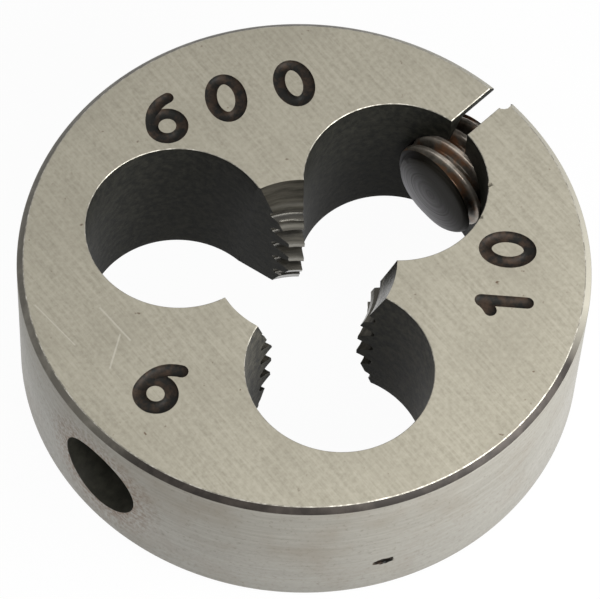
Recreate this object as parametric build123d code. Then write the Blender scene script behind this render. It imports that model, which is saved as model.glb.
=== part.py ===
from build123d import *
from build123d.topology import SkipClean
from math import cos, radians, sin, tan
import os

# Round split threading die, 13/16 in across, for a thread of 6 mm diameter and 1 mm pitch, with the
# small screw that opens its slot. Millimetres. +Z is the die's axis, z = 0 is the lower face, and
# the slot lies along +X.

# The blank
outer_diameter = 20.638
thickness = 6.35
rim_chamfer = 0.22

# The thread that the die cuts, with its 47.5 degree form and rounded roots
thread_diameter = 6.0
thread_pitch = 1.0
thread_depth = 0.6
thread_angle = 47.5
root_radius = 0.18
thread_start = -0.32

# Leads: the long tapered one at the upper face starts the cut, the short one is at the lower face
upper_lead_radius = 3.32
upper_lead_half_angle = 19.0
lower_lead_radius = 3.05
lower_lead_half_angle = 22.0

# Chip holes, between which the three lands stand
land_count = 3
chip_hole_radius = 3.35
chip_hole_offset = 4.70

# Flat ground on the back of the first land: its inner end, and the far side of the block that cuts it
heel_flat_end = (0.93, 2.0)
heel_block_side = 0.2

# Slot, and the hole along +X for the adjusting screw: a bore, then a wider drilled access hole
slot_width = 0.80
screw_clearance = 0.04
access_diameter = 5.76
access_start = 8.60
drill_point_angle = 118.0

# Adjusting screw, between two distances from the die's axis
screw_diameter = 3.80
screw_pitch = 0.635
screw_thread_depth = 0.38
screw_thread_angle = 60.0
screw_root_width = 0.10
screw_groove_start = -0.715
screw_inner_end = 6.75
screw_outer_end = 9.60
screw_end_chamfer = 0.15
driver_slot_width = 0.60
driver_slot_depth = 0.60

# Set-screw hole in the rim, opposite the slot
rim_hole_diameter = 3.40
rim_hole_depth = 2.60

# Worked out from the above
outer_radius = outer_diameter / 2
mid_height = thickness / 2
thread_radius = thread_diameter / 2
crest_radius = thread_radius - thread_depth
land_spacing = 360.0 / land_count
margin = 1.0

from_bottom = (Align.CENTER, Align.CENTER, Align.MIN)


def groove_profile(bottom_radius, mouth_radius, angle, round_radius):
    """Half section of a thread groove at the origin, with its bottom at x = 0.

    The groove opens towards mouth_radius, on whichever side of the bottom that lies.
    """
    side = 1 if mouth_radius > bottom_radius else -1
    half_angle = radians(angle / 2)
    round_height = round_radius * (1 - sin(half_angle))
    round_width = round_radius * cos(half_angle)
    height = abs(mouth_radius - bottom_radius)
    mouth_width = round_width + (height - round_height) * tan(half_angle)
    bottom = ThreePointArc(
        (side * round_height, -round_width),
        (0, 0),
        (side * round_height, round_width),
    )
    flanks = Polyline(
        (side * round_height, round_width),
        (side * height, mouth_width),
        (side * height, -mouth_width),
        (side * round_height, -round_width),
    )
    return make_face([bottom, flanks])


def flat_groove_profile(bottom_radius, mouth_radius, angle, bottom_width):
    """Half section of a thread groove with a flat bottom at x = 0, open towards +X."""
    height = mouth_radius - bottom_radius
    mouth_width = bottom_width / 2 + height * tan(radians(angle / 2))
    outline = Polyline(
        (0, -bottom_width / 2),
        (0, bottom_width / 2),
        (height, mouth_width),
        (height, -mouth_width),
        close=True,
    )
    return make_face(outline)


def helical_cutter(profile, radius, pitch, turn):
    """Sweep a groove profile along a helix about Z, over an angle of turn degrees from +X."""
    path = Helix(pitch=pitch, height=pitch * turn / 360, radius=radius)
    start = Plane(origin=path @ 0, x_dir=(1, 0, 0), z_dir=path % 0)
    return sweep(start * profile, path=path, is_frenet=True)


def thread_cutters():
    """Grooves of the cutting thread: short pieces of one helix, a row of them across each land."""
    land_span = 56.0
    first_turn = -1
    last_turn = round(thickness / thread_pitch) + 1
    profile = groove_profile(thread_radius, crest_radius - 0.15, thread_angle, root_radius)
    cutter = helical_cutter(profile, thread_radius, thread_pitch, land_span)
    cutters = []
    for land in range(land_count):
        start_angle = land_spacing * (land + 0.5) - land_span / 2
        for turn in range(first_turn, last_turn + 1):
            height = thread_start + thread_pitch * (turn + start_angle / 360)
            cutters.append(Pos(0, 0, height) * Rot(0, 0, start_angle) * cutter)
    return cutters


def lead_cone(radius, half_angle):
    """Tapered lead that opens the thread at the lower face."""
    return Cone(radius, 0, radius / tan(radians(half_angle)), align=from_bottom)


def heel_flat_cutter():
    """Block that leaves a flat on the back of the first land, tangent to the chip hole beside it."""
    bearing = radians(land_spacing)
    tangent_x = chip_hole_offset * cos(bearing) + chip_hole_radius
    tangent_y = chip_hole_offset * sin(bearing)
    outline = Polyline(
        (heel_block_side, heel_flat_end[1]),
        heel_flat_end,
        (tangent_x, tangent_y),
        (heel_block_side, tangent_y),
        close=True,
    )
    return extrude(make_face(outline), thickness)


def along_x(solid, start):
    """Lay a solid that stands on z = 0 along +X at mid thickness, with its foot at x = start."""
    return Pos(start, 0, mid_height) * Rot(0, 90, 0) * solid


def drill(diameter, depth):
    """A hole of a given depth below z = 0, with a drill point under it and open above."""
    point_height = diameter / 2 / tan(radians(drill_point_angle / 2))
    point = Pos(0, 0, -depth - point_height) * Cone(0, diameter / 2, point_height, align=from_bottom)
    shank = Pos(0, 0, -depth) * Cylinder(diameter / 2, depth + margin, align=from_bottom)
    return point + shank


def make_die_body():
    body = Rot(0, 0, 180) * Cylinder(outer_radius, thickness, align=from_bottom)
    rim_edges = body.edges().filter_by(GeomType.CIRCLE)
    body = chamfer(rim_edges, rim_chamfer)

    chip_hole = Cylinder(chip_hole_radius, thickness, align=from_bottom)
    body -= [location * chip_hole for location in PolarLocations(chip_hole_offset, land_count)]
    body -= Cylinder(crest_radius, thickness, align=from_bottom)
    body -= thread_cutters()
    body -= lead_cone(lower_lead_radius, lower_lead_half_angle)
    upper_lead = lead_cone(upper_lead_radius, upper_lead_half_angle)
    body -= Pos(0, 0, thickness) * Rot(180, 0, 0) * upper_lead
    body -= heel_flat_cutter()

    hole_wall = chip_hole_offset + chip_hole_radius
    slot_start = hole_wall - margin
    slot_length = outer_radius + margin - slot_start
    screw_bore = Cylinder(screw_diameter / 2 + screw_clearance, slot_length, align=from_bottom)
    body -= along_x(screw_bore, slot_start)
    body -= along_x(drill(access_diameter, outer_radius - access_start), outer_radius)
    set_screw_hole = along_x(drill(rim_hole_diameter, rim_hole_depth), outer_radius)
    body -= Rot(0, 0, 180) * set_screw_hole

    slot_cutter = Box(slot_length, slot_width, thickness, align=(Align.MIN, Align.CENTER, Align.MIN))
    # Faces stay unmerged here, so that the slot and the blank's seam part the rim into two halves
    with SkipClean():
        return body - Pos(slot_start, 0, 0) * slot_cutter


def make_adjusting_screw():
    length = screw_outer_end - screw_inner_end
    radius = screw_diameter / 2
    screw = Cylinder(radius, length, align=from_bottom)
    screw = chamfer(screw.edges().filter_by(GeomType.CIRCLE), screw_end_chamfer)

    root = radius - screw_thread_depth
    profile = flat_groove_profile(root, radius + 0.05, screw_thread_angle, screw_root_width)
    turns = length / screw_pitch + 2
    groove = helical_cutter(profile, root, screw_pitch, 360 * turns)
    screw -= Pos(0, 0, screw_groove_start) * groove

    screw -= Pos(0, 0, length - driver_slot_depth) * Box(
        driver_slot_width, screw_diameter, screw_diameter, align=from_bottom
    )
    return along_x(screw, screw_inner_end)


pieces = {
    "die_body": make_die_body(),
    "adjusting_screw": make_adjusting_screw(),
}

os.makedirs("parts", exist_ok=True)
for name, piece in pieces.items():
    piece.label = name
    export_step(piece, f"parts/{name}.step")
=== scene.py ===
from math import acos, asin, cos, hypot, pi, radians, sin, tan

import bmesh
import bpy
from mathutils import Matrix, Vector, noise


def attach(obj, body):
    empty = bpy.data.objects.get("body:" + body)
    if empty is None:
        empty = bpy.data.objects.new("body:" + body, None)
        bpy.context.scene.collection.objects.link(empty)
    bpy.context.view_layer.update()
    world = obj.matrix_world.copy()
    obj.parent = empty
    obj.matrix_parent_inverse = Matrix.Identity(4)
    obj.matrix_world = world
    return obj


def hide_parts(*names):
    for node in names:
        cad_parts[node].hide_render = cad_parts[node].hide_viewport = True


# Round split threading die with its adjusting screw. Sizes and places are in millimetres, and each piece
# is scaled to metres when it is finished. +Z is the die's axis, and the slot lies along +X.

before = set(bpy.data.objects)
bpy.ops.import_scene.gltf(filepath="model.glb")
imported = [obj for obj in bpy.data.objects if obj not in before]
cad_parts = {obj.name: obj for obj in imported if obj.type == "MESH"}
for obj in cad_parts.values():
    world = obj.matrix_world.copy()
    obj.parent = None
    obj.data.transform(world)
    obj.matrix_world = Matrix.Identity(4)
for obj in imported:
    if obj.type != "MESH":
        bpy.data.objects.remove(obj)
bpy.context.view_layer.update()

MM = 0.001

# Blank, chip holes and slot
OUTER_RADIUS = 10.319
THICKNESS = 6.35
MID_HEIGHT = THICKNESS / 2
LAND_COUNT = 3
CHIP_HOLE_RADIUS = 3.35
CHIP_HOLE_OFFSET = 4.70
SLOT_WIDTH = 0.80
LAND_TIP_RADIUS = 2.2

# Broken edges and the rim's chamfer: distance from the nearer face, and how far the rim and the walls of
# the chip holes and the slot stand back there
EDGE_LEVELS = (
    (0.000, 0.255, 0.030),
    (0.024, 0.218, 0.005),
    (0.050, 0.185, 0.0),
    (0.205, 0.015, 0.0),
    (0.240, 0.0, 0.0),
)

# Points of the outline on the rim, a whole chip hole, the tip of a land and a side of the slot
RIM_POINTS = 360
HOLE_POINTS = 128
TIP_POINTS = 8
SLOT_POINTS = 8

# Cutting thread and the lead at each face
THREAD_PITCH = 1.0
THREAD_RADIUS = 3.0
THREAD_HALF_ANGLE = radians(47.5 / 2)
THREAD_START = -0.32
CREST_RADIUS = 2.4
CREST_WEAR = 0.05
ROOT_ROUNDING = 0.18
UPPER_LEAD_RADIUS = 3.32
UPPER_LEAD_SLOPE = tan(radians(19))
LOWER_LEAD_RADIUS = 3.05
LOWER_LEAD_SLOPE = tan(radians(22))
LAND_SPAN = radians(56)

# Flat ground on the back of the first land: ends of its line at the upper face, its shift in x down to
# the lower face, and the far side of the block that cuts it
HEEL_FLAT_ENDS = ((1.18, 2.0), (0.72, 4.2))
HEEL_FLAT_LEAN = 0.30
HEEL_BLOCK_SIDE = -0.6

# Screw, its bore and the access hole
SCREW_RADIUS = 1.90
SCREW_PITCH = 0.635
SCREW_THREAD_DEPTH = 0.38
SCREW_GROOVE_START = -0.715
SCREW_GROOVE_BOTTOM = 0.05
SCREW_GROOVE_FLANK = 0.22
SCREW_START = 6.75
SCREW_END = 9.60
SCREW_EDGE = 0.06
SCREW_END_ROUNDING = 0.34
BORE_START = 7.0
BORE_RADIUS = 1.94
ACCESS_RADIUS = 2.88
ACCESS_START = 8.60
DRILL_SLOPE = tan(radians(59))
DRIVER_SLOT_WIDTH = 0.60
DRIVER_SLOT_DEPTH = 0.60

# Set-screw hole in the rim
RIM_HOLE_RADIUS = 1.70
RIM_HOLE_DEPTH = 2.60

# How far out the cutters of the radial holes reach, and how far other cutters go past what they cut
CUTTER_END = 11.5
OVERSHOOT = 1.0

# Points nearer to each other than this are joined, in the shape trees and in a finished piece
TREE_WELD = 0.0001
PIECE_WELD = 0.0005

# Edges that turn by more than this are shaded sharp
DIE_SHARP_ANGLE = radians(28)
SCREW_SHARP_ANGLE = radians(40)

# Stamped numerals: name, digit, centre, bearing of the numeral's top, height and half a stroke's width
NUMERALS = (
    ("first_6", "6", (0.55, 7.75), 60, 1.72, 0.225),
    ("first_0", "0", (2.79, 6.85), 56, 1.66, 0.225),
    ("second_0", "0", (5.05, 5.58), 60, 1.62, 0.225),
    ("pitch_1", "1", (3.78, -6.27), 131, 1.66, 0.235),
    ("pitch_0", "0", (5.50, -4.82), 131, 1.62, 0.235),
    ("class_6", "6", (-7.40, -0.20), 15, 1.80, 0.250),
)
STROKE_DEPTH = 0.20
STROKE_SIDES = 16

# Pale scratches on the upper face: start, end and half width
SCRATCHES = (
    ((-8.29, 5.28), (-8.40, 3.11), 0.014),
    ((-6.71, 3.59), (-6.86, 1.90), 0.020),
    ((-6.97, 2.30), (-8.16, 1.57), 0.020),
)

# Camera: bearing of the view from the slot's direction, height angle, and turn about its own axis
VIEW_BEARING = radians(48.254)
VIEW_HEIGHT = radians(59.154)
VIEW_ROLL = radians(3.623)
VIEW_DISTANCE = 149.5
VIEW_TARGET = Vector((0.058, 0.160, 3.175))
LENS = 245.6

# The die's right and its front, which faces the camera
RIGHT = Vector((cos(VIEW_BEARING), -sin(VIEW_BEARING), 0))
FRONT = Vector((-sin(VIEW_BEARING), -cos(VIEW_BEARING), 0))

# Lamps: name, place to the right, to the front and above the floor, width and power
LAMPS = (
    ("key", 56, 20, 30, 36, 0.046),
    ("near", 22, 34, 34, 24, 0.012),
    ("fill", -60, 40, 70, 60, 0.006),
)
FLOOR_SIZE = 300
FLOOR_GLOW = 0.965
SURROUND_STRENGTH = 0.32

# Places of the die body's materials in its mesh
FACE, RIM, CHAMFER, WALL, TEETH, STAMP, EDGE, BORE = range(8)


# ------------------------------------------------------------------ nodes


class Number:
    """A number that a node tree works out, for formulas that read as those with plain numbers do."""

    def __init__(self, tree, socket):
        self.tree = tree
        self.socket = socket

    def math(self, operation, *terms):
        node = add_node(self.tree, "ShaderNodeMath", dict(enumerate(terms)), operation=operation)
        return Number(self.tree, node.outputs["Value"])

    def __add__(self, other):
        return self.math("ADD", self, other)

    def __sub__(self, other):
        return self.math("SUBTRACT", self, other)

    def __rsub__(self, other):
        return self.math("SUBTRACT", other, self)

    def __mul__(self, other):
        return self.math("MULTIPLY", self, other)

    def __truediv__(self, other):
        return self.math("DIVIDE", self, other)

    def at_least(self, other):
        return self.math("MAXIMUM", self, other)

    def at_most(self, other):
        return self.math("MINIMUM", self, other)

    def above(self, other):
        return self.math("GREATER_THAN", self, other)

    def below(self, other):
        return self.math("LESS_THAN", self, other)

    def sine(self):
        return self.math("SINE", self)

    def cosine(self):
        return self.math("COSINE", self)

    def tangent(self):
        return self.math("TANGENT", self)

    def root(self):
        return self.math("SQRT", self)

    def unsigned(self):
        return self.math("ABSOLUTE", self)

    def from_nearest(self, step):
        """Distance to the nearest multiple of a step."""
        return self.math("PINGPONG", self, step * 0.5)

    def spread(self, low, high, to_low=0.0, to_high=1.0, ease="LINEAR"):
        """Map low..high to to_low..to_high, clamped."""
        node = add_node(
            self.tree,
            "ShaderNodeMapRange",
            {"Value": self, "From Min": low, "From Max": high, "To Min": to_low, "To Max": to_high},
            interpolation_type=ease,
        )
        return Number(self.tree, node.outputs["Result"])


def feed(tree, socket, value):
    """Set a socket to a value, or link it to the socket or number that is given."""
    if isinstance(value, Number):
        value = value.socket
    if isinstance(value, bpy.types.NodeSocket):
        tree.links.new(value, socket)
    else:
        socket.default_value = value


def add_node(tree, kind, inputs=None, **settings):
    """Add a node with its settings, and feed its inputs."""
    node = tree.nodes.new(kind)
    for name, value in settings.items():
        setattr(node, name, value)
    for name, value in (inputs or {}).items():
        feed(tree, node.inputs[name], value)
    return node


def first_output(tree, kind, inputs=None, **settings):
    """Add a node, and return its first output."""
    return add_node(tree, kind, inputs, **settings).outputs[0]


def vector_math(tree, operation, a, b):
    """A vector from two vectors."""
    return first_output(tree, "ShaderNodeVectorMath", {0: a, 1: b}, operation=operation)


def measure(tree, operation, a, b):
    """A number from two vectors."""
    node = add_node(tree, "ShaderNodeVectorMath", {0: a, 1: b}, operation=operation)
    return Number(tree, node.outputs["Value"])


def join_vector(tree, x, y, z):
    """A vector from three numbers."""
    return first_output(tree, "ShaderNodeCombineXYZ", {"X": x, "Y": y, "Z": z})


def split_vector(tree, vector):
    """The three numbers of a vector."""
    node = add_node(tree, "ShaderNodeSeparateXYZ", {"Vector": vector})
    return [Number(tree, output) for output in node.outputs]


def noise_value(tree, vector, scale, detail=2.0, roughness=0.5):
    """Noise from 0 to 1."""
    socket = first_output(
        tree,
        "ShaderNodeTexNoise",
        {"Vector": vector, "Scale": scale, "Detail": detail, "Roughness": roughness},
    )
    return Number(tree, socket)


# ------------------------------------------------------------------ materials


def new_material(name):
    """A material with an emptied tree: returns the material, its tree and its surface shader."""
    material = bpy.data.materials.new(name)
    material.use_nodes = True
    tree = material.node_tree
    tree.nodes.clear()
    surface = add_node(tree, "ShaderNodeBsdfPrincipled")
    add_node(tree, "ShaderNodeOutputMaterial", {"Surface": surface.outputs["BSDF"]})
    return material, tree, surface


def set_surface(tree, surface, colour, metallic, specular, roughness):
    """Feed the shader's colour and roughness, and set how metallic and how glossy it is."""
    feed(tree, surface.inputs["Base Color"], colour)
    feed(tree, surface.inputs["Roughness"], roughness)
    surface.inputs["Metallic"].default_value = metallic
    surface.inputs["Specular IOR Level"].default_value = specular


def bump(tree, surface, height, strength, distance):
    """Give the surface a fine relief."""
    inputs = {"Height": height, "Strength": strength, "Distance": distance * MM}
    feed(tree, surface.inputs["Normal"], first_output(tree, "ShaderNodeBump", inputs))


def mix_colours(share, a, b):
    """Mix from a to b, each a colour or a colour socket."""
    node = add_node(share.tree, "ShaderNodeMix", {0: share, 6: a, 7: b}, data_type="RGBA")
    return node.outputs[2]


def millimetres(tree, stretch=(1, 1, 1), turn=0.0):
    """Object coordinates in millimetres, turned about Z and stretched for a texture."""
    place = add_node(tree, "ShaderNodeTexCoord").outputs["Object"]
    inputs = {"Vector": place, "Angle": turn}
    turned = first_output(tree, "ShaderNodeVectorRotate", inputs, rotation_type="Z_AXIS")
    return vector_math(tree, "MULTIPLY", turned, [s / MM for s in stretch])


def scratch(tree, place, start, end, half_width):
    """1 on a scratch from start to end on the upper face, falling to 0 at its sides."""
    start = Vector((*start, THICKNESS))
    along = Vector((*end, THICKNESS)) - start
    from_start = vector_math(tree, "SUBTRACT", place, start)
    share = measure(tree, "DOT_PRODUCT", from_start, along / along.length_squared).spread(0, 1)
    reach = first_output(tree, "ShaderNodeVectorMath", {0: along, "Scale": share}, operation="SCALE")
    distance = measure(tree, "DISTANCE", from_start, reach)
    return distance.spread(half_width, 2 * half_width, 1, 0)


def from_screw_axis(tree, place):
    """Distance from the screw's axis."""
    flat = vector_math(tree, "MULTIPLY", place, (0, 1, 1))
    return measure(tree, "DISTANCE", flat, (0, 0, MID_HEIGHT))


def ground_face():
    """Upper and lower faces: surface-ground steel with parallel lines, scratches and rust specks."""
    material, tree, surface = new_material("ground_face")
    place = millimetres(tree)
    lines = noise_value(tree, millimetres(tree, (9, 0.45, 1), radians(7)), 1.0, 3.0, 0.65)
    grain = noise_value(tree, place, 5.5, 4.0, 0.6)
    patches = noise_value(tree, place, 0.32, 3.0)
    specks = noise_value(tree, place, 3.0, 2.0)
    colour = mix_colours(
        lines.spread(0.30, 0.70), (0.295, 0.272, 0.210, 1), (0.405, 0.378, 0.300, 1)
    )
    colour = mix_colours(grain.spread(0.35, 0.72, 0.0, 0.6), colour, (0.490, 0.458, 0.370, 1))
    colour = mix_colours(patches.spread(0.45, 0.75, 0.0, 0.35), colour, (0.270, 0.247, 0.192, 1))
    rust = specks.spread(0.70, 0.76) * patches.spread(0.42, 0.55)
    colour = mix_colours(rust, colour, (0.12, 0.078, 0.048, 1))
    for start, end, half_width in SCRATCHES:
        pale = scratch(tree, place, start, end, half_width) * 0.35
        colour = mix_colours(pale, colour, (0.70, 0.67, 0.58, 1))
    set_surface(tree, surface, colour, 0.15, 0.5, lines.spread(0.2, 0.8, 0.38, 0.56))
    bump(tree, surface, lines, 0.35, 0.012)
    return material


def turned_rim():
    """Rim: plain cylindrical grinding, with faint marks round it, specks, and rust by its hole."""
    material, tree, surface = new_material("ground_rim")
    place = millimetres(tree)
    lines = noise_value(tree, millimetres(tree, (0.35, 0.35, 7)), 1.0, 3.0, 0.6)
    grain = noise_value(tree, place, 6.0, 4.0, 0.65)
    patches = noise_value(tree, place, 0.45, 3.0)
    colour = mix_colours(
        lines.spread(0.30, 0.70), (0.255, 0.243, 0.209, 1), (0.315, 0.302, 0.264, 1)
    )
    colour = mix_colours(grain.spread(0.58, 0.78, 0.0, 0.7), colour, (0.15, 0.13, 0.10, 1))
    colour = mix_colours(patches.spread(0.50, 0.75, 0.0, 0.45), colour, (0.20, 0.165, 0.12, 1))
    from_hole = measure(tree, "DISTANCE", place, (-OUTER_RADIUS, 0, MID_HEIGHT))
    by_hole = from_hole.spread(RIM_HOLE_RADIUS, RIM_HOLE_RADIUS + 1.3, 0.9, 0.0)
    rust = by_hole * grain.spread(0.40, 0.62)
    colour = mix_colours(rust, colour, (0.155, 0.092, 0.052, 1))
    set_surface(tree, surface, colour, 0.45, 0.5, grain.spread(0.3, 0.7, 0.36, 0.52))
    bump(tree, surface, grain, 0.2, 0.01)
    return material


def chamfer_steel():
    """Chamfers of the rim: painted shade, brown-black, at the front; pale at the back; painted light,
    paler, at the right.
    """
    material, tree, surface = new_material("rim_chamfer")
    place = millimetres(tree)
    grain = noise_value(tree, place, 1.2, 4.0, 0.6)
    mottled = grain.spread(0.42, 0.75)
    dark = mix_colours(mottled, (0.020, 0.016, 0.013, 1), (0.060, 0.050, 0.042, 1))
    pale = mix_colours(mottled, (0.13, 0.12, 0.10, 1), (0.24, 0.225, 0.19, 1))
    # Painted light: paler towards the right, the key lamp's side
    rightness = measure(tree, "DOT_PRODUCT", place, RIGHT)
    pale = mix_colours(rightness.spread(0.0, 6.0), pale, (0.40, 0.38, 0.315, 1))
    # Painted shade: brown-black at the front, standing in for the dark surroundings it reflects there
    frontness = measure(tree, "DOT_PRODUCT", place, FRONT + 0.35 * RIGHT)
    colour = mix_colours(frontness.spread(4.7, 7.0), pale, dark)
    set_surface(tree, surface, colour, 0.3, 0.3, 0.5)
    bump(tree, surface, grain, 0.4, 0.02)
    return material


def wall_steel():
    """Walls of the chip holes and the slot: black and mottled, and paler in the front chip hole as
    painted light, where the wall faces the lamps.
    """
    material, tree, surface = new_material("dark_wall")
    place = millimetres(tree)
    grain = noise_value(tree, place, 3.6, 6.0, 0.7)
    mottled = grain.spread(0.40, 0.66)
    black = mix_colours(mottled, (0.007, 0.0072, 0.0058, 1), (0.024, 0.0235, 0.018, 1))
    painted_lit_wall = mix_colours(mottled, (0.018, 0.0175, 0.0145, 1), (0.088, 0.082, 0.062, 1))
    # Painted light: the front chip hole's wall, which faces the lamps, gets the paler copy of the colour
    frontness = measure(tree, "DOT_PRODUCT", place, FRONT)
    colour = mix_colours(frontness.spread(0.6, 3.2), black, painted_lit_wall)
    set_surface(tree, surface, colour, 0.0, 0.06, 0.5)
    bump(tree, surface, grain, 0.5, 0.03)
    return material


def teeth_steel():
    """Lands: dark streaked steel, with painted shade making the thread's grooves black and a painted
    highlight making the crests pale.
    """
    material, tree, surface = new_material("cutting_teeth")
    place = millimetres(tree)
    grain = noise_value(tree, place, 3.4, 5.0, 0.65)
    x, y, z = split_vector(tree, place)
    flat = vector_math(tree, "MULTIPLY", place, (1, 1, 0))
    from_axis = measure(tree, "LENGTH", flat, (0, 0, 0))
    streaks = noise_value(tree, join_vector(tree, from_axis * 6, z * 6, x * 0.8), 1.0, 4.0, 0.65)
    colour = mix_colours(
        streaks.spread(0.30, 0.75), (0.030, 0.028, 0.022, 1), (0.125, 0.115, 0.092, 1)
    )
    bearing = y.math("ARCTAN2", y, x)
    height = z - bearing * (THREAD_PITCH / (2 * pi)) - THREAD_START
    from_groove = height.from_nearest(THREAD_PITCH)
    threaded = from_axis.spread(THREAD_RADIUS - 0.1, THREAD_RADIUS, 1.0, 0.0)
    # Painted highlight: paler towards the crests
    crest_highlight = threaded * from_groove.spread(0.34, 0.46, 0.0, 0.5)
    # Painted shade: black in the thread's grooves
    black = threaded * from_groove.spread(0.12, 0.28, 0.9, 0.0)
    colour = mix_colours(crest_highlight, colour, (0.46, 0.44, 0.38, 1))
    colour = mix_colours(black, colour, (0.008, 0.008, 0.008, 1))
    set_surface(tree, surface, colour, 0.5, 0.5, 0.26)
    bump(tree, surface, grain, 0.4, 0.02)
    return material


def mottled_steel(name, dark, light, grain_scale, metallic, specular, roughness):
    """Steel in two mottled colours."""
    material, tree, surface = new_material(name)
    grain = noise_value(tree, millimetres(tree), grain_scale, 4.0, 0.6)
    colour = mix_colours(grain.spread(0.42, 0.75), dark, light)
    set_surface(tree, surface, colour, metallic, specular, roughness)
    bump(tree, surface, grain, 0.4, 0.02)
    return material


def stamp_steel():
    """Bottoms of the numerals and the rim's dent: black with brown rust."""
    dark = (0.010, 0.0095, 0.008, 1)
    light = (0.065, 0.042, 0.028, 1)
    return mottled_steel("dark_stamp", dark, light, 3.0, 0.0, 0.2, 0.6)


def edge_steel():
    """Broken edges of the faces: bright metal."""
    dark = (0.20, 0.187, 0.155, 1)
    light = (0.66, 0.63, 0.55, 1)
    return mottled_steel("bright_edge", dark, light, 4.5, 0.6, 0.5, 0.42)


def bore_steel():
    """Wall of the set-screw hole: olive black."""
    dark = (0.035, 0.034, 0.026, 1)
    light = (0.070, 0.068, 0.052, 1)
    return mottled_steel("rim_hole", dark, light, 2.2, 0.0, 0.3, 0.5)


def screw_steel():
    """Adjusting screw: turned steel with rust, and a painted highlight that makes the thread's crests
    brighter.
    """
    material, tree, surface = new_material("turned_screw")
    place = millimetres(tree)
    grain = noise_value(tree, place, 3.0, 4.0, 0.6)
    rust = noise_value(tree, place, 1.6, 3.0, 0.6)
    colour = mix_colours(
        grain.spread(0.35, 0.65), (0.100, 0.088, 0.072, 1), (0.24, 0.215, 0.18, 1)
    )
    colour = mix_colours(rust.spread(0.47, 0.62, 0.0, 0.8), colour, (0.34, 0.165, 0.080, 1))
    # Painted highlight: paler crests, fading in from 0.25 to 0.6 mm past the inner end
    crest = from_screw_axis(tree, place).spread(SCREW_RADIUS - 0.16, SCREW_RADIUS - 0.01)
    along = measure(tree, "DOT_PRODUCT", place, (1, 0, 0))
    past_end = along.spread(SCREW_START + 0.25, SCREW_START + 0.6)
    crest_highlight = crest * grain.spread(0.25, 0.6, 0.3, 0.9) * past_end
    colour = mix_colours(crest_highlight, colour, (0.62, 0.56, 0.48, 1))
    set_surface(tree, surface, colour, 0.55, 0.5, 0.34)
    bump(tree, surface, grain, 0.3, 0.012)
    return material


def screw_end_steel():
    """Ends of the screw: turned rings, with painted shade dark at the top and a painted reflection of
    the floor pale towards the bottom.
    """
    material, tree, surface = new_material("turned_screw_end")
    place = millimetres(tree)
    inputs = {"W": from_screw_axis(tree, place), "Scale": 8.0, "Detail": 3.0}
    rings = Number(tree, first_output(tree, "ShaderNodeTexNoise", inputs, noise_dimensions="1D"))
    centred = vector_math(tree, "SUBTRACT", place, (0, 0, MID_HEIGHT))
    # Painted shade at the top and painted reflection of the floor towards the bottom
    lowness = measure(tree, "DOT_PRODUCT", centred, (0, 0.45, -0.9)).spread(-1.0, 1.7)
    dark = (0.020, 0.018, 0.014, 1)
    colour = mix_colours(lowness * lowness, dark, (0.92, 0.91, 0.95, 1))
    colour = mix_colours(rings.spread(0.42, 0.68, 0.0, 0.45), colour, dark)
    set_surface(tree, surface, colour, 0.25, 0.08, 0.55)
    bump(tree, surface, rings, 0.35, 0.015)
    return material


# ------------------------------------------------------------------ meshes


def point_outward(mesh):
    """Turn all the mesh's normals outward."""
    shape = bmesh.new()
    shape.from_mesh(mesh)
    bmesh.ops.recalc_face_normals(shape, faces=shape.faces)
    shape.to_mesh(mesh)
    shape.free()


def make_object(name, vertices, faces, materials, indices=None):
    """A mesh object in millimetres, with its normals outward.

    Without indices, all of it has the first material.
    """
    mesh = bpy.data.meshes.new(name)
    mesh.from_pydata(vertices, [], faces)
    for material in materials:
        mesh.materials.append(material)
    if indices is not None:
        mesh.polygons.foreach_set("material_index", indices)
    point_outward(mesh)
    piece = bpy.data.objects.new(name, mesh)
    bpy.context.scene.collection.objects.link(piece)
    return piece


def ring_faces(first, second):
    """Quads between two closed rings of vertex numbers of the same length."""
    count = len(first)
    return [
        (first[i], first[(i + 1) % count], second[(i + 1) % count], second[i]) for i in range(count)
    ]


def lathe(name, profile, place, steel, steps=96):
    """Turn a profile of (distance along the axis, radius) about the axis that place maps to.

    The last radius may be 0, and the solid then ends in a point.
    """
    vertices = []
    rings = []
    for along, radius in profile:
        ring_steps = steps if radius > 0 else 1
        rings.append(range(len(vertices), len(vertices) + ring_steps))
        for i in range(ring_steps):
            angle = 2 * pi * i / steps
            vertices.append(place(along, radius * cos(angle), radius * sin(angle)))
    faces = []
    for first, second in zip(rings, rings[1:]):
        if len(second) == 1:
            faces += [(second[0], first[i], first[(i + 1) % steps]) for i in range(steps)]
        else:
            faces += ring_faces(first, second)
    faces += [tuple(ring) for ring in (rings[0], rings[-1]) if len(ring) > 1]
    return make_object(name, vertices, faces, [steel])


def keep_result(piece):
    """Turn what the piece's modifiers make into its plain mesh, and remove them."""
    seen = bpy.context.evaluated_depsgraph_get()
    mesh = bpy.data.meshes.new_from_object(piece.evaluated_get(seen))
    piece.modifiers.clear()
    piece.data = mesh


def cut(body, cutters):
    """Take the cutters out of the body, and delete them. A cut has its cutter's material."""
    for cutter in cutters:
        modifier = body.modifiers.new(cutter.name, "BOOLEAN")
        modifier.operation = "DIFFERENCE"
        modifier.solver = "EXACT"
        modifier.material_mode = "TRANSFER"
        modifier.object = cutter
    keep_result(body)
    for cutter in cutters:
        bpy.data.objects.remove(cutter)


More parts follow.
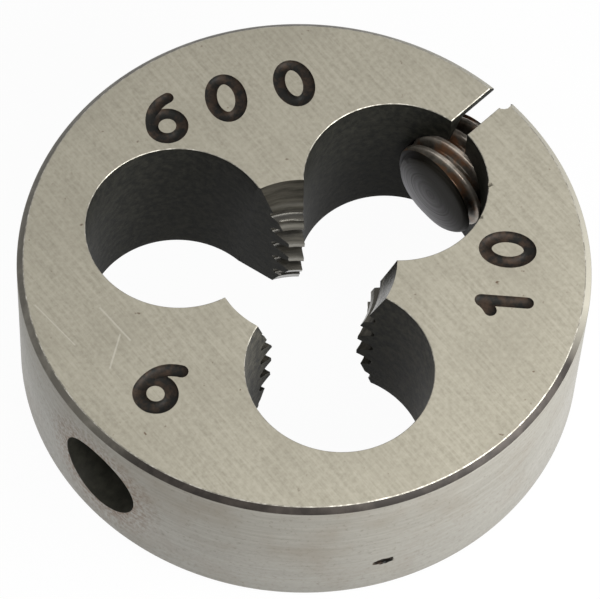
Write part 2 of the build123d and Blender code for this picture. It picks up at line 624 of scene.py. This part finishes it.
def finish_piece(piece, sharp_angle):
    """Weld, scale to metres, and shade smooth up to the sharp angle."""
    mesh = piece.data
    shape = bmesh.new()
    shape.from_mesh(mesh)
    bmesh.ops.remove_doubles(shape, verts=shape.verts, dist=PIECE_WELD)
    bmesh.ops.dissolve_degenerate(shape, edges=shape.edges, dist=PIECE_WELD)
    shape.to_mesh(mesh)
    shape.free()
    mesh.transform(Matrix.Scale(MM, 4))
    mesh.polygons.foreach_set("use_smooth", [True] * len(mesh.polygons))
    mesh.set_sharp_from_angle(angle=sharp_angle)
    mesh.update()


# ------------------------------------------------------------------ shape trees


def new_shape_tree(name, sizes):
    """A geometry tree with a named input for each size: returns the tree and its sizes."""
    tree = bpy.data.node_groups.new(name, "GeometryNodeTree")
    tree.interface.new_socket("Shape", in_out="OUTPUT", socket_type="NodeSocketGeometry")
    for size in sizes:
        tree.interface.new_socket(size, in_out="INPUT", socket_type="NodeSocketFloat")
    entry = add_node(tree, "NodeGroupInput")
    return tree, {size: Number(tree, entry.outputs[size]) for size in sizes}


def add_grid(tree, length, width, rows, columns):
    """A flat grid about the origin, with its length along X."""
    inputs = {"Size X": length, "Size Y": width, "Vertices X": rows + 1, "Vertices Y": columns + 1}
    return first_output(tree, "GeometryNodeMeshGrid", inputs)


def move_points(tree, shape, place, selection=True):
    """Put the selected points of a shape in their places."""
    inputs = {"Geometry": shape, "Selection": selection, "Position": place}
    return first_output(tree, "GeometryNodeSetPosition", inputs)


def weld(tree, shape):
    """Join the points of a shape that lie together."""
    inputs = {"Geometry": shape, "Distance": TREE_WELD}
    return first_output(tree, "GeometryNodeMergeByDistance", inputs)


def realize(tree, shape):
    """Make a shape real, so that it can be kept as a mesh."""
    return first_output(tree, "GeometryNodeRealizeInstances", {"Geometry": shape})


def give_material(tree, shape, material, selection=True):
    """Give the selected faces of a shape a material."""
    inputs = {"Geometry": shape, "Selection": selection, "Material": material}
    return first_output(tree, "GeometryNodeSetMaterial", inputs)


def grow(name, tree, sizes):
    """A new piece from a geometry tree at the given sizes, as a plain mesh."""
    piece = bpy.data.objects.new(name, bpy.data.meshes.new(name))
    bpy.context.scene.collection.objects.link(piece)
    modifier = piece.modifiers.new(name, "NODES")
    modifier.node_group = tree
    for item in tree.interface.items_tree:
        if item.in_out == "INPUT":
            modifier[item.identifier] = float(sizes[item.name])
    keep_result(piece)
    # The grid that a tree starts from brings an empty material slot
    piece.data.materials.pop(index=0)
    point_outward(piece.data)
    return piece


# ------------------------------------------------------------------ the die body


def steps_between(start, end, count):
    """count steps from start up to but not including end."""
    return [start + (end - start) * i / count for i in range(count)]


def outline(rim_inset, wall_inset):
    """The die's outline seen from above: rim, slot, and chip holes with the land tips between them.

    Returns the points and, for each point, the material of the wall that starts there.
    """
    rim_radius = OUTER_RADIUS - rim_inset
    hole_radius = CHIP_HOLE_RADIUS + wall_inset
    half_slot = SLOT_WIDTH / 2 + wall_inset
    rim_start = asin(half_slot / rim_radius)
    slot_corner = asin(half_slot / hole_radius)
    tip = acos(
        (LAND_TIP_RADIUS**2 - CHIP_HOLE_OFFSET**2 - hole_radius**2)
        / (2 * CHIP_HOLE_OFFSET * hole_radius)
    )
    points = []

    def arc(centre, radius, start, end, count):
        for angle in steps_between(start, end, count):
            points.append((centre[0] + radius * cos(angle), centre[1] + radius * sin(angle)))

    def slot_side(start_x, end_x, y):
        for x in steps_between(start_x, end_x, SLOT_POINTS):
            points.append((x, y))

    def hole(number, start, end, count):
        bearing = 2 * pi * number / LAND_COUNT
        centre = (CHIP_HOLE_OFFSET * cos(bearing), CHIP_HOLE_OFFSET * sin(bearing))
        arc(centre, hole_radius, bearing + start, bearing + end, count)

    def land_tip(number):
        bearing = 2 * pi * (number - 0.5) / LAND_COUNT
        half_turn = pi / LAND_COUNT - asin(hole_radius * sin(tip) / LAND_TIP_RADIUS)
        arc((0, 0), LAND_TIP_RADIUS, bearing + half_turn, bearing - half_turn, TIP_POINTS)

    rim_x = rim_radius * cos(rim_start)
    hole_x = CHIP_HOLE_OFFSET + hole_radius * cos(slot_corner)
    arc((0, 0), rim_radius, rim_start, 2 * pi - rim_start, RIM_POINTS)
    slot_side(rim_x, hole_x, -half_slot)
    hole(0, -slot_corner, -tip, HOLE_POINTS // 2)
    for number in range(LAND_COUNT, 0, -1):
        land_tip(number)
        if number > 1:
            hole(number - 1, tip, -tip, HOLE_POINTS)
    hole(0, tip, slot_corner, HOLE_POINTS // 2)
    slot_side(hole_x, rim_x, half_slot)
    kinds = [RIM] * RIM_POINTS + [WALL] * (len(points) - RIM_POINTS)
    return points, kinds


def make_blank(materials):
    """The die before it is tapped and drilled, with its chamfered rim and slightly broken edges."""
    rim_kinds = (EDGE, CHAMFER, CHAMFER, RIM)
    wall_kinds = (EDGE, WALL, WALL, WALL)
    rim_kinds += (RIM, *reversed(rim_kinds))
    wall_kinds += (WALL, *reversed(wall_kinds))
    layers = list(EDGE_LEVELS)
    layers += [(THICKNESS - z, rim, wall) for z, rim, wall in reversed(EDGE_LEVELS)]
    vertices = []
    rings = []
    for z, rim_inset, wall_inset in layers:
        points, kinds = outline(rim_inset, wall_inset)
        rings.append(range(len(vertices), len(vertices) + len(points)))
        vertices += [(x, y, z) for x, y in points]
    faces = []
    indices = []
    for rim_kind, wall_kind, lower, upper in zip(rim_kinds, wall_kinds, rings, rings[1:]):
        faces += ring_faces(lower, upper)
        indices += [rim_kind if kind == RIM else wall_kind for kind in kinds]
    # Walls before ends, here and in lathe: the exact cuts depend on the order of the faces, and can
    # leave a numeral out when it changes
    faces += [tuple(rings[0]), tuple(rings[-1])]
    indices += [FACE, FACE]
    return make_object("blank", vertices, faces, materials, indices)


# What the tap and the two countersinks take from a land whose middle stands at a bearing
TAP_SIZES = {
    "Pitch": THREAD_PITCH,
    "Thread radius": THREAD_RADIUS,
    "Crest radius": CREST_RADIUS,
    "Crest wear": CREST_WEAR,
    "Flank angle": THREAD_HALF_ANGLE,
    "Root rounding": ROOT_ROUNDING,
    "Start": THREAD_START,
    "Thickness": THICKNESS,
    "Upper lead radius": UPPER_LEAD_RADIUS,
    "Upper lead slope": UPPER_LEAD_SLOPE,
    "Lower lead radius": LOWER_LEAD_RADIUS,
    "Lower lead slope": LOWER_LEAD_SLOPE,
    "Span": LAND_SPAN,
    "Bearing": 0,
}
TAP_TURNS = 10
TAP_MIDDLE_TURN = 3
TAP_ROWS_PER_TURN = 26
TAP_COLUMNS = 28
TAP_CORE = 0.15


def groove_depth(offset, size):
    """How far the groove's wall stands in from its bottom, at an offset from its middle."""
    rounding = size["Root rounding"]
    in_round = offset.at_most(rounding * size["Flank angle"].cosine())
    arc = rounding - (rounding * rounding - in_round * in_round).root()
    return arc + (offset - in_round) / size["Flank angle"].tangent()


def tapped_radius(along, bearing, height, size):
    """Radius of the land's surface: the largest of groove, worn crest and the two leads."""
    tree = along.tree
    specks = noise_value(tree, join_vector(tree, bearing * 9, height * 2.5, 0.0), 1.0, 0.0)
    crest = size["Crest radius"] + specks.spread(0.5, 1.0, 0.0, size["Crest wear"])
    groove = size["Thread radius"] - groove_depth(along.from_nearest(size["Pitch"]), size)
    upper_lead = size["Upper lead radius"] - size["Upper lead slope"] * (size["Thickness"] - height)
    lower_lead = size["Lower lead radius"] - size["Lower lead slope"] * height
    return groove.at_least(crest).at_least(upper_lead).at_least(lower_lead)


def tap_tree(steel):
    """Tree of what the tap and the countersinks take from one land.

    A flat grid is wound into a helical sheet, and closed with a copy drawn in towards the axis.
    """
    tree, size = new_shape_tree("tap_shape", TAP_SIZES)
    pitch = size["Pitch"]
    rows = TAP_TURNS * TAP_ROWS_PER_TURN
    grid = add_grid(tree, pitch * TAP_TURNS, size["Span"], rows, TAP_COLUMNS)
    place = first_output(tree, "GeometryNodeInputPosition")
    along, across, _ = split_vector(tree, place)
    bearing = across + size["Bearing"]
    height = along + (bearing / (2 * pi) + TAP_MIDDLE_TURN) * pitch + size["Start"]
    radius = tapped_radius(along, bearing, height, size)
    wound = join_vector(tree, radius * bearing.cosine(), radius * bearing.sine(), height)
    sheet = move_points(tree, grid, wound)
    walls = add_node(
        tree, "GeometryNodeExtrudeMesh", {"Mesh": sheet, "Offset Scale": 0.0, "Individual": False}
    ).outputs
    core = vector_math(tree, "MULTIPLY", place, (TAP_CORE, TAP_CORE, 1))
    drawn_in = move_points(tree, walls["Mesh"], core, walls["Top"])
    both = add_node(tree, "GeometryNodeJoinGeometry")
    tree.links.new(sheet, both.inputs["Geometry"])
    tree.links.new(drawn_in, both.inputs["Geometry"])
    closed = realize(tree, weld(tree, both.outputs["Geometry"]))
    add_node(tree, "NodeGroupOutput", {"Shape": give_material(tree, closed, steel)})
    return tree


def make_taps(steel):
    """One cutter for each land."""
    tree = tap_tree(steel)
    middles = [2 * pi * (number + 0.5) / LAND_COUNT for number in range(LAND_COUNT)]
    return [
        grow(f"tap_{number}", tree, {**TAP_SIZES, "Bearing": middle})
        for number, middle in enumerate(middles)
    ]


def make_heel_flat(steel):
    """Cutter for the flat on the back of the first land: a leaning prism."""
    near_end, far_end = HEEL_FLAT_ENDS
    corners = (near_end, far_end, (HEEL_BLOCK_SIDE, far_end[1]), (HEEL_BLOCK_SIDE, near_end[1]))
    vertices = []
    for z in (-OVERSHOOT, THICKNESS + OVERSHOOT):
        shift = HEEL_FLAT_LEAN * (1 - z / THICKNESS)
        vertices += [(x + shift, y, z) for x, y in corners]
    faces = ring_faces(range(4), range(4, 8)) + [(0, 1, 2, 3), (4, 5, 6, 7)]
    return make_object("heel_flat", vertices, faces, [steel])


def make_screw_hole(steel):
    """Cutter for the screw's bore and its access hole."""
    cone_start = ACCESS_START - (ACCESS_RADIUS - BORE_RADIUS) / DRILL_SLOPE
    profile = (
        (BORE_START, BORE_RADIUS),
        (cone_start, BORE_RADIUS),
        (ACCESS_START, ACCESS_RADIUS),
        (CUTTER_END, ACCESS_RADIUS),
    )
    return lathe("screw_hole", profile, lambda x, y, z: (x, y, MID_HEIGHT + z), steel)


def make_set_screw_hole(steel):
    """Cutter for the set-screw hole, with its drilled point."""
    bottom = OUTER_RADIUS - RIM_HOLE_DEPTH
    profile = (
        (CUTTER_END, RIM_HOLE_RADIUS),
        (bottom, RIM_HOLE_RADIUS),
        (bottom - RIM_HOLE_RADIUS / DRILL_SLOPE, 0),
    )
    return lathe("set_screw_hole", profile, lambda x, y, z: (-x, y, MID_HEIGHT + z), steel)


def ellipse(half_width, half_height, centre_y=0.0, count=40):
    """Points on an ellipse about a centre on the numeral's middle line."""
    angles = steps_between(0, 2 * pi, count)
    return [(half_width * cos(angle), centre_y + half_height * sin(angle)) for angle in angles]


def curve(a, b, c, count=14):
    """Points on a quadratic curve from a to c, drawn towards b."""
    points = []
    for i in range(count + 1):
        t = i / count
        points.append(
            tuple((1 - t) ** 2 * a[k] + 2 * t * (1 - t) * b[k] + t**2 * c[k] for k in range(2))
        )
    return points


# Strokes of each digit, one unit high about its middle: whether the stroke is a closed ring, its points
DIGITS = {
    "0": [(True, ellipse(0.33, 0.50))],
    "1": [
        (False, curve((0.04, -0.50), (0.04, 0.0), (0.04, 0.50))),
        (False, curve((0.02, 0.49), (-0.07, 0.36), (-0.21, 0.29))),
    ],
    "6": [
        (True, ellipse(0.32, 0.31, -0.19)),
        (False, curve((-0.32, -0.18), (-0.30, 0.36), (0.18, 0.50))),
    ],
}


def make_stroke(name, points, closed, half_width, steel):
    """An oval bar that follows a flat line at the upper face, with rounded ends if it is open."""
    count = len(points)
    end_bends = () if closed else (80, 60, 40, 20)
    vertices = []
    rings = []

    def add_ring(point, forward, shift, share):
        rings.append(range(len(vertices), len(vertices) + STROKE_SIDES))
        for angle in steps_between(0, 2 * pi, STROKE_SIDES):
            out = share * half_width * cos(angle)
            x = point[0] + forward[0] * shift + forward[1] * out
            y = point[1] + forward[1] * shift - forward[0] * out
            vertices.append((x, y, THICKNESS + share * STROKE_DEPTH * sin(angle)))

    for i, point in enumerate(points):
        before = points[i - 1] if closed or i > 0 else point
        after = points[(i + 1) % count] if closed or i < count - 1 else point
        length = hypot(after[0] - before[0], after[1] - before[1])
        forward = ((after[0] - before[0]) / length, (after[1] - before[1]) / length)
        if i == 0:
            for bend in end_bends:
                add_ring(point, forward, -half_width * sin(radians(bend)), cos(radians(bend)))
        add_ring(point, forward, 0.0, 1.0)
        if i == count - 1:
            for bend in reversed(end_bends):
                add_ring(point, forward, half_width * sin(radians(bend)), cos(radians(bend)))
    faces = []
    for first, second in zip(rings, rings[1:]):
        faces += ring_faces(first, second)
    if closed:
        faces += ring_faces(rings[-1], rings[0])
    else:
        faces += [tuple(rings[0]), tuple(rings[-1])]
    return make_object(name, vertices, faces, [steel])


def make_numerals(steel):
    """Cutters for the numerals' strokes."""
    cutters = []
    for name, digit, centre, top_bearing, height, half_width in NUMERALS:
        turn = radians(top_bearing - 90)
        for number, (closed, points) in enumerate(DIGITS[digit]):
            placed = [
                (
                    centre[0] + height * (x * cos(turn) - y * sin(turn)),
                    centre[1] + height * (x * sin(turn) + y * cos(turn)),
                )
                for x, y in points
            ]
            cutters.append(make_stroke(f"{name}_{number}", placed, closed, half_width, steel))
    return cutters


def make_lump(name, centre, size, bearing, roughness, steel):
    """A small uneven lump, to cut a dent or a chipped edge."""
    ball = bmesh.new()
    bmesh.ops.create_icosphere(ball, subdivisions=3, radius=1.0)
    ball.verts.index_update()
    turn = Matrix.Rotation(radians(bearing), 3, "Z")
    vertices = []
    for vertex in ball.verts:
        swell = 1 + roughness * noise.noise(vertex.co * 2.3 + Vector(centre))
        local = Vector(vertex.co[i] * size[i] * swell for i in range(3))
        vertices.append(Vector(centre) + turn @ local)
    faces = [[vertex.index for vertex in face.verts] for face in ball.faces]
    ball.free()
    return make_object(name, vertices, faces, [steel])


def make_damage(materials):
    """Cutters for the dent in the rim, and for the chipped edges by the slot and its chip hole."""
    dent_bearing = -118.6
    dent_x = OUTER_RADIUS * cos(radians(dent_bearing))
    dent_y = OUTER_RADIUS * sin(radians(dent_bearing))
    lumps = (
        ("rim_dent", (dent_x, dent_y, 1.95), (0.22, 0.42, 0.20), dent_bearing, 0.5, STAMP),
        ("slot_chip", (10.05, -0.44, THICKNESS - 0.05), (0.34, 0.20, 0.5), 0, 0.3, RIM),
        ("edge_chip_1", (7.00, -2.43, THICKNESS), (0.16, 0.10, 0.12), -45, 0.5, FACE),
        ("edge_chip_2", (5.80, -3.16, THICKNESS), (0.14, 0.09, 0.12), -70, 0.5, FACE),
    )
    return [make_lump(*lump, materials[kind]) for *lump, kind in lumps]


def make_die_body():
    """The die: a blank that is tapped, ground, drilled, stamped and worn, in this order."""
    materials = [
        ground_face(),
        turned_rim(),
        chamfer_steel(),
        wall_steel(),
        teeth_steel(),
        stamp_steel(),
        edge_steel(),
        bore_steel(),
    ]
    wall = materials[WALL]
    body = make_blank(materials)
    body.name = "threading_die"
    cut(body, make_taps(materials[TEETH]))
    cut(body, [make_heel_flat(wall), make_screw_hole(wall), make_set_screw_hole(materials[BORE])])
    cut(body, make_numerals(materials[STAMP]))
    cut(body, make_damage(materials))
    finish_piece(body, DIE_SHARP_ANGLE)
    return body


# ------------------------------------------------------------------ the adjusting screw


SCREW_SIZES = {
    "Start": SCREW_START,
    "Length": SCREW_END - SCREW_START,
    "Radius": SCREW_RADIUS,
    "Pitch": SCREW_PITCH,
    "Thread depth": SCREW_THREAD_DEPTH,
    "Groove start": SCREW_GROOVE_START,
    "Groove bottom": SCREW_GROOVE_BOTTOM,
    "Groove flank": SCREW_GROOVE_FLANK,
    "Inner rounding": SCREW_END_ROUNDING,
    "Outer edge": SCREW_EDGE,
    "Middle height": MID_HEIGHT,
}
SCREW_ROWS = 239
SCREW_STEPS = 120
SCREW_FOLD = 0.06


def screw_radius(along, bearing, size):
    """Radius of the screw at a distance from its inner end and an angle round it from -Z."""
    radius = size["Radius"]
    groove = size["Groove start"] + size["Pitch"] * (bearing / (2 * pi))
    offset = (along - groove).from_nearest(size["Pitch"])
    bottom = size["Groove bottom"]
    sink = offset.spread(
        bottom, bottom + size["Groove flank"], size["Thread depth"], 0.0, "SMOOTHSTEP"
    )
    broken_edge = (size["Outer edge"] - (size["Length"] - along)).at_least(0.0)
    short = along.spread(0.0, size["Inner rounding"], 1.0, 0.0)
    rounding = size["Inner rounding"] * (1.0 - (1.0 - short * short).root())
    return (radius - sink).at_most(radius - rounding).at_most(radius - broken_edge)


def screw_tree(side_steel, end_steel):
    """Tree of the threaded screw: a flat grid rolled up, its last rows folded in to close the ends."""
    tree, size = new_shape_tree("screw_shape", SCREW_SIZES)
    length = size["Length"]
    grid = add_grid(tree, length + 2 * SCREW_FOLD, 2 * pi, SCREW_ROWS, SCREW_STEPS)
    x, bearing, _ = split_vector(tree, first_output(tree, "GeometryNodeInputPosition"))
    from_start = x + length * 0.5
    along = from_start.at_least(0.0).at_most(length)
    share = (from_start - along).unsigned().spread(0.0, SCREW_FOLD, 1.0, 0.0)
    radius = share * screw_radius(along, bearing, size)
    height = size["Middle height"] - radius * bearing.cosine()
    rolled = join_vector(tree, size["Start"] + along, radius * bearing.sine(), height)
    closed = realize(tree, weld(tree, move_points(tree, grid, rolled)))
    # The points have moved by now, so x is the place along the finished screw
    from_inner_end = x - size["Start"]
    inner_end = from_inner_end.below(size["Inner rounding"])
    outer_end = from_inner_end.above(length * 0.9999)
    shape = give_material(tree, closed, side_steel)
    shape = give_material(tree, shape, end_steel, inner_end.at_least(outer_end))
    add_node(tree, "NodeGroupOutput", {"Shape": shape})
    return tree


def make_driver_slot(steel):
    """Cutter for the slot in the screw's outer end: a long box."""
    half_width = DRIVER_SLOT_WIDTH / 2
    reach = SCREW_RADIUS + OVERSHOOT
    corners = [
        (x, y, MID_HEIGHT + z)
        for x in (SCREW_END - DRIVER_SLOT_DEPTH, SCREW_END + OVERSHOOT)
        for y in (-reach, reach)
        for z in (-half_width, half_width)
    ]
    faces = [(0, 1, 3, 2), (4, 5, 7, 6), (0, 1, 5, 4), (2, 3, 7, 6), (0, 2, 6, 4), (1, 3, 7, 5)]
    return make_object("driver_slot", corners, faces, [steel])


def make_screw():
    """The headless screw, with a driver slot in its outer end."""
    side_steel = screw_steel()
    screw = grow("threaded_screw", screw_tree(side_steel, screw_end_steel()), SCREW_SIZES)
    cut(screw, [make_driver_slot(side_steel)])
    finish_piece(screw, SCREW_SHARP_ANGLE)
    return screw


# ------------------------------------------------------------------ floor, light and camera


def seen_ray(tree):
    """1 for rays from the camera, straight or by way of gloss or glass, and 0 for the others."""
    path = add_node(tree, "ShaderNodeLightPath").outputs
    seen = Number(tree, path["Is Camera Ray"]).at_least(path["Is Glossy Ray"])
    return seen.at_least(path["Is Transmission Ray"])


def make_floor():
    """A pale floor that shows white and keeps a soft shadow."""
    size = FLOOR_SIZE
    corners = [(-size, -size, 0), (size, -size, 0), (size, size, 0), (-size, size, 0)]
    material = bpy.data.materials.new("pale_floor")
    material.use_nodes = True
    tree = material.node_tree
    tree.nodes.clear()
    matt = first_output(tree, "ShaderNodeBsdfDiffuse", {"Color": (0.82, 0.82, 0.82, 1)})
    glow = first_output(tree, "ShaderNodeEmission", {"Color": (1, 1, 1, 1), "Strength": 1.0})
    share = seen_ray(tree) * FLOOR_GLOW
    mixed = first_output(tree, "ShaderNodeMixShader", {0: share, 1: matt, 2: glow})
    add_node(tree, "ShaderNodeOutputMaterial", {"Surface": mixed})
    floor = make_object("floor", corners, [(0, 1, 2, 3)], [material])
    floor.data.transform(Matrix.Scale(MM, 4))


def make_world():
    """A plain grey surround that the camera and the metal see as white."""
    world = bpy.data.worlds.new("surround")
    bpy.context.scene.world = world
    world.use_nodes = True
    tree = world.node_tree
    tree.nodes.clear()
    strength = seen_ray(tree).spread(0, 1, SURROUND_STRENGTH, 1.0)
    surround = first_output(
        tree, "ShaderNodeBackground", {"Color": (1, 1, 1, 1), "Strength": strength}
    )
    add_node(tree, "ShaderNodeOutputWorld", {"Surface": surround})


def add_lamp(name, right_share, front_share, height, size, power):
    """A square lamp aimed at the die."""
    place = RIGHT * right_share + FRONT * front_share + Vector((0, 0, height))
    lamp = bpy.data.lights.new(name, "AREA")
    lamp.size = size * MM
    lamp.energy = power
    holder = bpy.data.objects.new(name, lamp)
    bpy.context.scene.collection.objects.link(holder)
    aim = (place - Vector((0, 0, MID_HEIGHT))).to_track_quat("Z", "Y")
    holder.matrix_world = Matrix.Translation(place * MM) @ aim.to_matrix().to_4x4()


def make_camera():
    """The camera, at the view's angles and distance from its target."""
    direction = FRONT * cos(VIEW_HEIGHT) + Vector((0, 0, sin(VIEW_HEIGHT)))
    camera = bpy.data.cameras.new("camera")
    camera.lens = LENS
    camera.clip_start = 0.005
    holder = bpy.data.objects.new("camera", camera)
    bpy.context.scene.collection.objects.link(holder)
    place = (VIEW_TARGET + direction * VIEW_DISTANCE) * MM
    aim = direction.to_track_quat("Z", "Y").to_matrix().to_4x4()
    roll = Matrix.Rotation(VIEW_ROLL, 4, "Z")
    holder.matrix_world = Matrix.Translation(place) @ aim @ roll
    bpy.context.scene.camera = holder


body = make_die_body()
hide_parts("die_body")
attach(body, "die")

screw = make_screw()
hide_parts("adjusting_screw")
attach(screw, "screw")

make_floor()
make_world()
for lamp in LAMPS:
    add_lamp(*lamp)
make_camera()
bpy.context.scene.view_settings.view_transform = "Standard"
